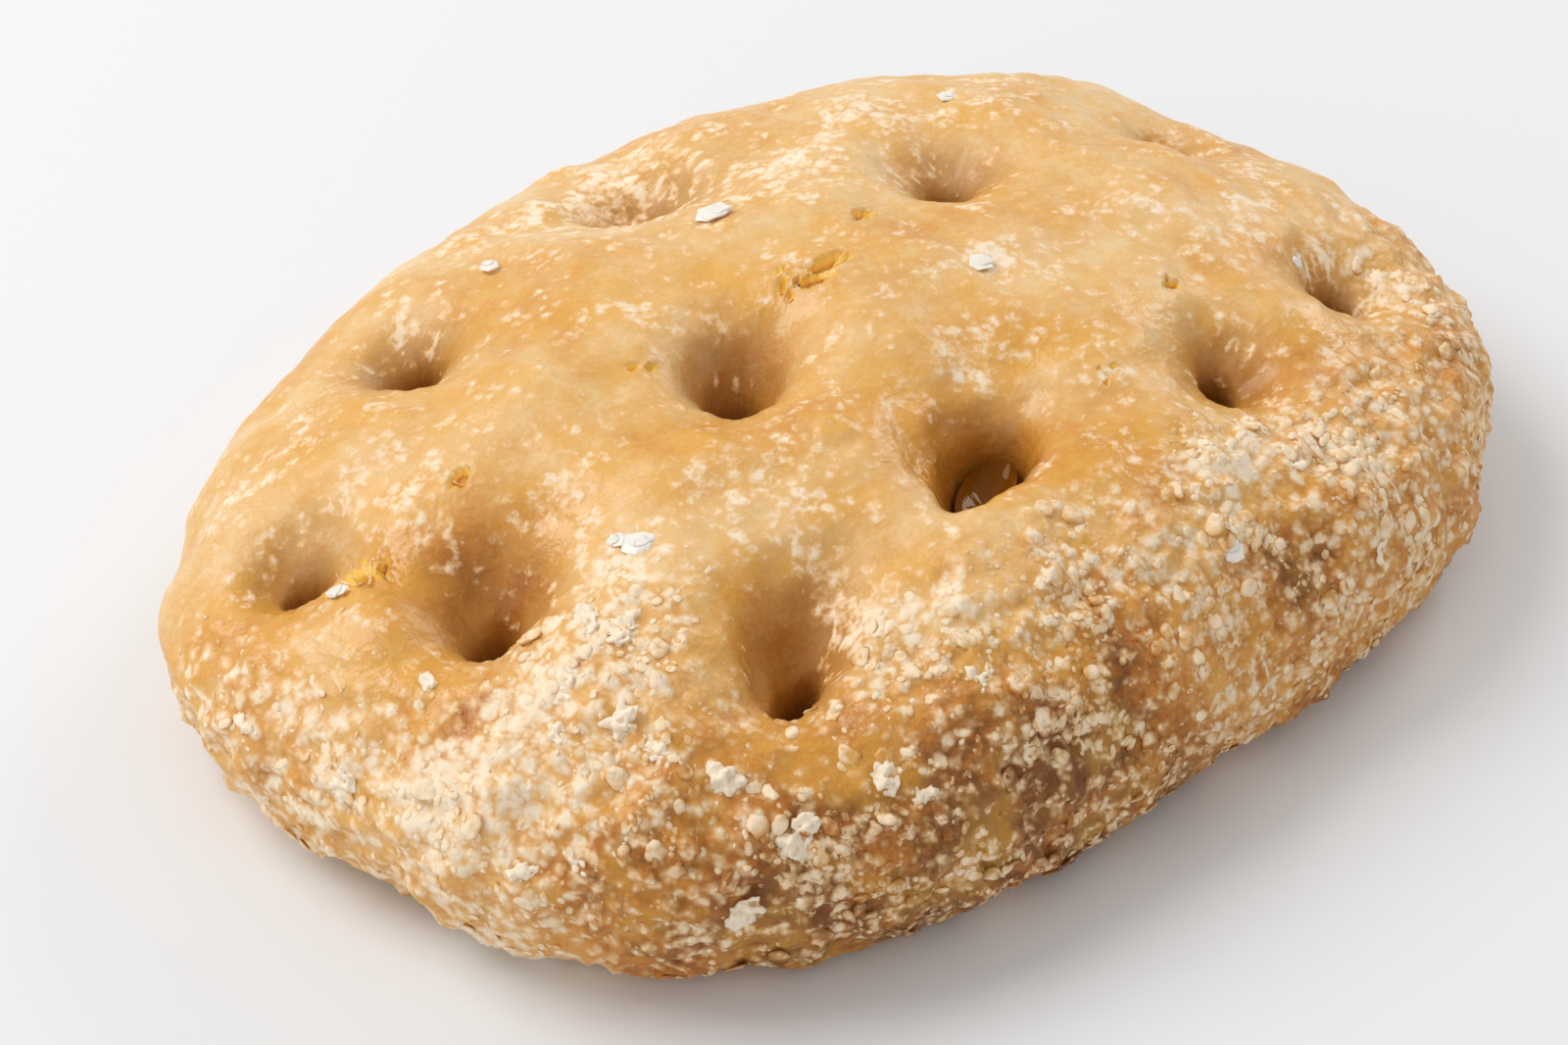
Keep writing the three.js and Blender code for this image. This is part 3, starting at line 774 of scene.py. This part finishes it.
# salt flakes of two thin layers, whose lengths are shares of the flake's size
salt = {
    # x, y, size across
    "places": [
        (2.3, 24.8, 5.0), (-40.7, -20.3, 4.2), (-42.6, -17.6, 2.6), (20.4, -5.4, 3.4), (59.2, -19.7, 3.6),
        (-68.9, 1.1, 3.0), (44.1, 31.8, 3.0), (17.8, -55.4, 3.2), (-24.0, 38.0, 2.8),
    ],
    "sides": 6,
    "layers": (1.0, 0.62),
    "footRadius": 0.5,
    "topRadius": 0.46,
    "thickness": 0.1,
    "lift": 0.05,
    "narrowing": 0.9,
    "jitter": (0.11, 0.11, 0.02),
    "shift": 0.12,
    "mostTurn": 6.3,  # in radians
    "bevel": 0.08,  # in millimetres
    "seed": 34,
}


def crustNormalAt(x, y, step=0.6):
    near = np.array([[x + step, y], [x - step, y], [x, y + step], [x, y - step]])
    heights = crustHeight(near[:, 0], near[:, 1])
    normal = Vector((heights[1] - heights[0], heights[3] - heights[2], 2 * step))
    return normal.normalized()


def makeSalt():
    draws = np.random.RandomState(salt["seed"])
    bm = bmesh.new()
    for x, y, size in salt["places"]:
        place = Vector(crustPoint(x, y))
        upright = crustNormalAt(x, y).to_track_quat("Z", "Y")
        for layer, share in enumerate(salt["layers"]):
            made = bmesh.ops.create_cone(
                bm, cap_ends=True, segments=salt["sides"], radius1=salt["footRadius"] * size * share,
                radius2=salt["topRadius"] * size * share, depth=salt["thickness"] * size)
            spin = Quaternion((0, 0, 1), draws.uniform(0, salt["mostTurn"]))
            sideways = [draws.uniform(-salt["shift"], salt["shift"]) * size for _ in range(2)]
            shift = Vector((*sideways, salt["lift"] * (1 + layer) * size))
            for vert in made["verts"]:
                vert.co.y *= salt["narrowing"]
                vert.co += Vector(draws.uniform(-1, 1, 3) * salt["jitter"]) * size
                vert.co = upright @ (spin @ vert.co + shift) + place
    bmesh.ops.bevel(
        bm, geom=bm.edges[:], offset=salt["bevel"], segments=1, profile=0.5, affect="EDGES", material=-1)
    bmesh.ops.scale(bm, vec=(mm, mm, mm), verts=bm.verts[:])
    bmesh.ops.recalc_face_normals(bm, faces=bm.faces[:])
    return makeMesh("saltFlakes", bm)


pool = {
    "dimple": dimples[4],
    "level": 28,
    "meniscus": 1.5,  # how far the oil is drawn up at the wall
    "meniscusReach": 1.6,
    "rings": 28,
    "sides": 72,
    "reach": 10.0,  # how far out the wall is looked for
    "reachSteps": 181,
    "sink": 0.12,  # how far its edge goes into the crust
    "least": 0.02,  # its least thickness
}


def makePool():
    # a ball: its upper half becomes the oil's surface, its lower half a bowl that follows the dimple's floor
    dimple = pool["dimple"]
    bm = bmesh.new()
    bmesh.ops.create_uvsphere(bm, u_segments=pool["sides"], v_segments=pool["rings"], radius=1)
    steps = np.linspace(0, pool["reach"], pool["reachSteps"])
    for vert in bm.verts:
        share = min(1, vert.co.to_2d().length)
        angle = math.atan2(vert.co.y, vert.co.x)
        wall = crustHeight(dimple["x"] + steps * math.cos(angle), dimple["y"] + steps * math.sin(angle))
        edge = steps[np.argmax(wall > pool["level"])] + pool["sink"]
        radius = share * edge
        x = dimple["x"] + radius * math.cos(angle)
        y = dimple["y"] + radius * math.sin(angle)
        floor = crustPoint(x, y)[2] - pool["sink"]
        surface = pool["level"] + pool["meniscus"] * math.exp(-(edge - radius) / pool["meniscusReach"])
        isUpper = vert.co.z > -0.001  # the ring at the edge counts as upper
        vert.co = (x, y, surface if isUpper else min(floor, surface - pool["least"]))
    bmesh.ops.recalc_face_normals(bm, faces=bm.faces[:])
    bmesh.ops.scale(bm, vec=(mm, mm, mm), verts=bm.verts[:])
    piece = makeMesh("oilPool", bm)
    shadeSmooth(piece.data)
    return piece


def tone(red, green, blue):
    # a colour as seen on a screen, in 255 steps, as Blender's linear one
    values = [value / 255 for value in (red, green, blue)]
    return [value / 12.92 if value < 0.04045 else ((value + 0.055) / 1.055) ** 2.4 for value in values] + [1]


def newMaterial(name):
    material = bpy.data.materials.new(name)
    material.use_nodes = True
    return material, material.node_tree, material.node_tree.nodes["Principled BSDF"]


def setInputs(tree, node, inputs):
    # links what is a socket, and writes what is a value
    for name, value in inputs.items():
        if isinstance(value, bpy.types.NodeSocket):
            tree.links.new(value, node.inputs[name])
        else:
            node.inputs[name].default_value = value


def addNode(tree, kind, inputs, **settings):
    made = tree.nodes.new("ShaderNode" + kind)
    for name, value in settings.items():
        setattr(made, name, value)
    setInputs(tree, made, inputs)
    return made


def calc(tree, operation, *values):
    return addNode(tree, "Math", dict(enumerate(values)), operation=operation).outputs[0]


def times(tree, value, share):
    return calc(tree, "MULTIPLY", value, share)


def ease(tree, value, low, high):
    return addNode(tree, "MapRange", {"Value": value, "From Min": low, "From Max": high},
                   interpolation_type="SMOOTHSTEP").outputs[0]


def mixColour(tree, factor, first, second):
    return addNode(tree, "Mix", {0: factor, 6: first, 7: second}, data_type="RGBA").outputs[2]


def objectPlace(tree):
    return addNode(tree, "TexCoord", {}).outputs["Object"]


def mottle(tree, place, size, detail=3, roughness=0.55, **settings):
    inputs = {"Vector": place, "Scale": 1 / (size * mm), "Detail": detail, "Roughness": roughness}
    return addNode(tree, "TexNoise", inputs, **settings)


def attribute(tree, name):
    return addNode(tree, "Attribute", {}, attribute_name=name).outputs["Fac"]


def bumpNormal(tree, height, strength, distance):
    inputs = {"Height": height, "Strength": strength, "Distance": distance * mm}
    return addNode(tree, "Bump", inputs).outputs["Normal"]


crustLook = {
    # browning, with painted shade, from 0 to 1, and the colour there
    "tones": [
        (0.00, (240, 216, 176)), (0.25, (235, 199, 143)), (0.45, (227, 177, 104)),
        (0.62, (219, 156, 76)), (0.80, (192, 121, 48)), (1.00, (130, 76, 30)),
    ],
    "golden": (230, 170, 66),
    "toasted": (239, 196, 137),
    "amber": (252, 200, 82),
    "amberDark": (216, 142, 30),
    # the colour deep in the dimples: painted shade, partly the crust's own oil-browned colour
    "deep": (150, 88, 22),
    # where each of them starts and is full, and its strength there
    "goldenReach": (0.44, 0.68, 0.52),
    "toastedReach": (0.5, 0.95, 0.85),
    "amberReach": (0, 0.5, 1),
    "amberDarkReach": (0.6, 1, 1),
    "flourReach": (0.7, 1.2),
    "depthShadeStrength": 0.85,
    "dustStrength": 0.42,
    # sizes of the textures in millimetres
    "mottling": {"broad": 15, "patchy": 9, "middle": 4.2, "fine": 0.8},
    "graining": {"clods": 2.1, "grains": 0.9},
    "wrinkleSize": 1.7,
    "wrinkleRoughness": 0.6,
    "swirlSize": 1.3,
    "swirlReach": 0.6,
    "bump": (0.7, 0.6),  # strength, and distance in millimetres
    "leastRoughness": 0.08,
    "glowColours": (1.0, 0.62, 0.32),  # how far red, green and blue go, as shares of the reach
    "zones": ("floured", "dusted", "oily", "bakedAndShaded", "deep", "streak", "pore", "lump"),
    # for each finish: how much light goes in, how far in millimetres, and the colour of its flour
    "finishes": {
        "bakedCrust": (0.2, 2.2, (252, 232, 204)),
        "bakedFlour": (0, 1, (252, 229, 196)),
        "thickFlour": (0, 1, (253, 236, 211)),
    },
}
# each is a base to which shares of the zones and the textures are added
crustMixes = {
    "browningAndShade": {
        "base": 0.38, "broad": 0.75, "middle": 0.55, "fine": 0.4, "bakedAndShaded": 0.42, "oily": 0.1, "floured": 0.17,
    },
    "golden": {"base": 0.5, "patchy": 1, "oily": 0.12},
    "grit": {"base": 0.07, "clods": 0.4, "grains": 0.18, "fine": 0.3, "middle": 0.3},
    "patches": {"base": 0.2, "clods": 0.3, "fine": 1.3, "middle": 1.4, "wrinkles": 0.4},
    "gritShare": {"base": 0.2, "floured": 0.8},
    "thickness": {"base": 0.31, "broad": 0.15, "bakedAndShaded": -0.3},
    "amount": {"base": 0.14, "flour": 1, "lump": 0.32, "streak": 0.45, "deep": -0.4, "relief": 1},
    "roughness": {"base": 0.38, "cover": 0.35, "oily": -0.17, "middle": 0.25, "pore": -0.22},
    "shine": {"base": 0.32, "oily": 0.15},
    "wrinkling": {"base": 0.14, "oily": 0.26},
    "raising": {"base": 0.25, "floured": 0.6},
}


def mixed(tree, parts, name):
    total = crustMixes[name]["base"]
    for part, share in crustMixes[name].items():
        if part != "base":
            total = calc(tree, "MULTIPLY_ADD", parts[part], share, total)
    return total


def layOver(tree, colour, over, amount):
    # lays one of the crust's colours over another by an amount
    low, high, strength = crustLook[over + "Reach"]
    factor = times(tree, ease(tree, amount, low, high), strength)
    return mixColour(tree, factor, colour, tone(*crustLook[over]))


def grainHeight(tree, place, size):
    # rounded grains of about one size side by side: 1 on a grain, 0 between grains
    cells = addNode(tree, "TexVoronoi", {"Vector": place, "Scale": 1 / (size * mm)})
    return ease(tree, cells.outputs["Distance"], 0.75, 0.1)


def drawOut(tree, place, size, reach):
    # shifts every place a little, by a fine noise
    swirl = mottle(tree, place, size, 2, 0.5).outputs["Color"]
    pull = addNode(tree, "VectorMath", {0: swirl, 1: (0.5, 0.5, 0.5)}, operation="SUBTRACT").outputs[0]
    pull = addNode(tree, "VectorMath", {0: pull, "Scale": reach * mm}, operation="SCALE").outputs[0]
    return addNode(tree, "VectorMath", {0: place, 1: pull}, operation="ADD").outputs[0]


def makeCrustMaterial(name):
    glow, glowReach, flour = crustLook["finishes"][name]
    material, tree, shader = newMaterial(name)
    place = objectPlace(tree)
    parts = {zone: attribute(tree, zone) for zone in crustLook["zones"]}
    for texture, size in crustLook["mottling"].items():
        parts[texture] = calc(tree, "SUBTRACT", mottle(tree, place, size).outputs["Fac"], 0.5)
    # browning: broad patches, finer ones, what the oven did to each side, and painted shade on the lower front
    # and in some dimples
    ramp = addNode(tree, "ValToRGB", {"Fac": mixed(tree, parts, "browningAndShade")})
    stops = ramp.color_ramp.elements
    for number, (position, colour) in enumerate(crustLook["tones"]):
        stop = stops[number] if number < 2 else stops.new(position)
        stop.position, stop.color = position, tone(*colour)
    colour = layOver(tree, ramp.outputs["Color"], "golden", mixed(tree, parts, "golden"))
    # painted shade deep in the dimples, partly the crust's own oil-browned colour
    shade = times(tree, parts["deep"], crustLook["depthShadeStrength"])
    colour = mixColour(tree, shade, colour, tone(*crustLook["deep"]))
    # flour: clods of grains whose edges are drawn out by a fine noise, with browned gaps between them
    drawn = drawOut(tree, place, crustLook["swirlSize"], crustLook["swirlReach"])
    parts["wrinkles"] = mottle(
        tree, drawn, crustLook["wrinkleSize"], roughness=crustLook["wrinkleRoughness"],
        noise_type="RIDGED_MULTIFRACTAL").outputs["Fac"]
    for texture, size in crustLook["graining"].items():
        parts[texture] = grainHeight(tree, drawn, size)
    parts["relief"] = addNode(tree, "Mix", {
        0: mixed(tree, parts, "gritShare"),
        2: mixed(tree, parts, "patches"),
        3: mixed(tree, parts, "grit"),
    }).outputs[0]
    thick = times(tree, parts["floured"], mixed(tree, parts, "thickness"))
    parts["flour"] = calc(tree, "MAXIMUM", thick, times(tree, parts["dusted"], crustLook["dustStrength"]))
    amount = mixed(tree, parts, "amount")
    parts["cover"] = ease(tree, amount, *crustLook["flourReach"])
    colour = layOver(tree, colour, "toasted", amount)
    colour = mixColour(tree, parts["cover"], colour, tone(*flour))
    colour = layOver(tree, colour, "amber", parts["pore"])
    colour = layOver(tree, colour, "amberDark", parts["pore"])
    wrinkled = times(tree, parts["wrinkles"], mixed(tree, parts, "wrinkling"))
    raised = times(tree, parts["relief"], mixed(tree, parts, "raising"))
    # satin, dry where floured, and wet where oily
    setInputs(tree, shader, {
        "Base Color": colour,
        "Roughness": calc(tree, "MAXIMUM", mixed(tree, parts, "roughness"), crustLook["leastRoughness"]),
        "Specular IOR Level": mixed(tree, parts, "shine"),
        "Subsurface Weight": glow,
        "Subsurface Radius": crustLook["glowColours"],
        "Subsurface Scale": glowReach * mm,
        "Normal": bumpNormal(tree, calc(tree, "ADD", wrinkled, raised), *crustLook["bump"]),
    })
    return material


saltLook = {
    "white": (253, 247, 239),
    "shade": (244, 234, 222),
    "cloudSize": 0.8,
    "roughness": 0.5,
    "refraction": 1.54,
    "glow": 0.4,
    "glowReach": 0.5,
    "bump": (0.4, 0.1),
}
oilLook = {
    "dark": (126, 70, 0),
    "darker": (100, 54, 0),
    "cloudSize": 3,
    "roughness": 0.03,
    "refraction": 1.47,
    "shine": 0.25,
    "shineColour": (255, 222, 176),
}


def makeSaltMaterial():
    material, tree, shader = newMaterial("seaSalt")
    cloud = mottle(tree, objectPlace(tree), saltLook["cloudSize"]).outputs["Fac"]
    setInputs(tree, shader, {
        "Base Color": mixColour(tree, cloud, tone(*saltLook["white"]), tone(*saltLook["shade"])),
        "Roughness": times(tree, cloud, saltLook["roughness"]),
        "IOR": saltLook["refraction"],
        "Subsurface Weight": saltLook["glow"],
        "Subsurface Radius": (1, 1, 1),
        "Subsurface Scale": saltLook["glowReach"] * mm,
        "Normal": bumpNormal(tree, cloud, *saltLook["bump"]),
    })
    return material


def makeOilMaterial():
    material, tree, shader = newMaterial("oliveOil")
    cloud = mottle(tree, objectPlace(tree), oilLook["cloudSize"]).outputs["Fac"]
    setInputs(tree, shader, {
        "Base Color": mixColour(tree, cloud, tone(*oilLook["dark"]), tone(*oilLook["darker"])),
        "Roughness": oilLook["roughness"],
        "IOR": oilLook["refraction"],
        "Specular IOR Level": oilLook["shine"],
        "Specular Tint": tone(*oilLook["shineColour"]),
    })
    return material


view = {
    "place": (-221.2, -306.4, 328.0),
    "azimuth": -35,
    "elevation": 40.5,
    "roll": -1.72,
    "lens": 90,
    "sensorWidth": 36,
    "nearest": 0.01,
}
stage = {
    "floorHalfWidth": 3,
    "floorColour": (0.83, 0.85, 0.885, 1),
    "floorRoughness": 0.6,
    "roomColour": (1, 0.985, 0.96, 1),
    "roomLight": 0.55,
}
# round lights: place in metres, width, power, colour. The key stands behind the loaf on the left, a weak one
# in front keeps the shade from going black, and one behind on the right shines in the oil.
lights = {
    "key": ((-0.55, 0.75, 1.1), 1.0, 11.5, (1, 0.985, 0.96)),
    "fill": ((-1.15, -0.3, 0.65), 0.9, 1.5, (1, 0.98, 0.96)),
    "rim": ((1.3, 0.4, 0.75), 0.6, 4.4, (1, 0.99, 0.98)),
}


def addCamera():
    azimuth, elevation = math.radians(view["azimuth"]), math.radians(view["elevation"])
    back = Vector((math.sin(azimuth) * math.cos(elevation), -math.cos(azimuth) * math.cos(elevation),
                   math.sin(elevation)))
    roll = Quaternion((0, 0, 1), math.radians(view["roll"]))
    data = bpy.data.cameras.new("camera")
    data.lens = view["lens"]
    data.sensor_fit = "HORIZONTAL"
    data.sensor_width = view["sensorWidth"]
    data.clip_start = view["nearest"]
    camera = bpy.data.objects.new("camera", data)
    camera.rotation_mode = "QUATERNION"
    camera.rotation_quaternion = back.to_track_quat("Z", "Y") @ roll
    camera.location = Vector(view["place"]) * mm
    bpy.context.collection.objects.link(camera)
    bpy.context.scene.camera = camera


def addLight(name, place, size, power, colour):
    data = bpy.data.lights.new(name, "AREA")
    data.shape = "DISK"
    data.size = size
    data.energy = power
    data.color = colour
    light = bpy.data.objects.new(name, data)
    light.location = place
    light.rotation_euler = (-Vector(place)).to_track_quat("-Z", "Y").to_euler()
    bpy.context.collection.objects.link(light)


def addStage():
    bm = bmesh.new()
    bmesh.ops.create_grid(bm, x_segments=1, y_segments=1, size=stage["floorHalfWidth"])
    floor = makeMesh("floor", bm)
    material, tree, shader = newMaterial("paleFloor")
    setInputs(tree, shader, {"Base Color": stage["floorColour"], "Roughness": stage["floorRoughness"]})
    floor.data.materials.append(material)
    world = bpy.data.worlds.new("softRoom")
    world.use_nodes = True
    background = world.node_tree.nodes["Background"]
    setInputs(world.node_tree, background, {"Color": stage["roomColour"], "Strength": stage["roomLight"]})
    bpy.context.scene.world = world
    bpy.context.scene.view_settings.view_transform = "Standard"


addCamera()
addStage()
for name, light in lights.items():
    addLight(name, *light)
print("camera and light set")

crustPiece, surface = makeCrust()
print("crust made,", len(surface["points"]), "points")
crumbPiece = makeCrumbs(surface)
grainPiece = makeGrains(surface)
flakePiece = makeFlakes(surface)
webPiece = makeWebs(surface)
print("flour and webs made")
saltPiece = makeSalt()
poolPiece = makePool()
print("salt and oil made")

crustPiece.data.materials.append(makeCrustMaterial("bakedCrust"))
flourMaterial = makeCrustMaterial("bakedFlour")
for piece in (crumbPiece, grainPiece, webPiece):
    piece.data.materials.append(flourMaterial)
flakePiece.data.materials.append(makeCrustMaterial("thickFlour"))
saltPiece.data.materials.append(makeSaltMaterial())
poolPiece.data.materials.append(makeOilMaterial())
for piece in (crustPiece, crumbPiece, grainPiece, flakePiece, webPiece, saltPiece):
    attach(piece, "root")
    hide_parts("loaf")
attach(poolPiece, "root")
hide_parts("oil_pool")
print("materials set")
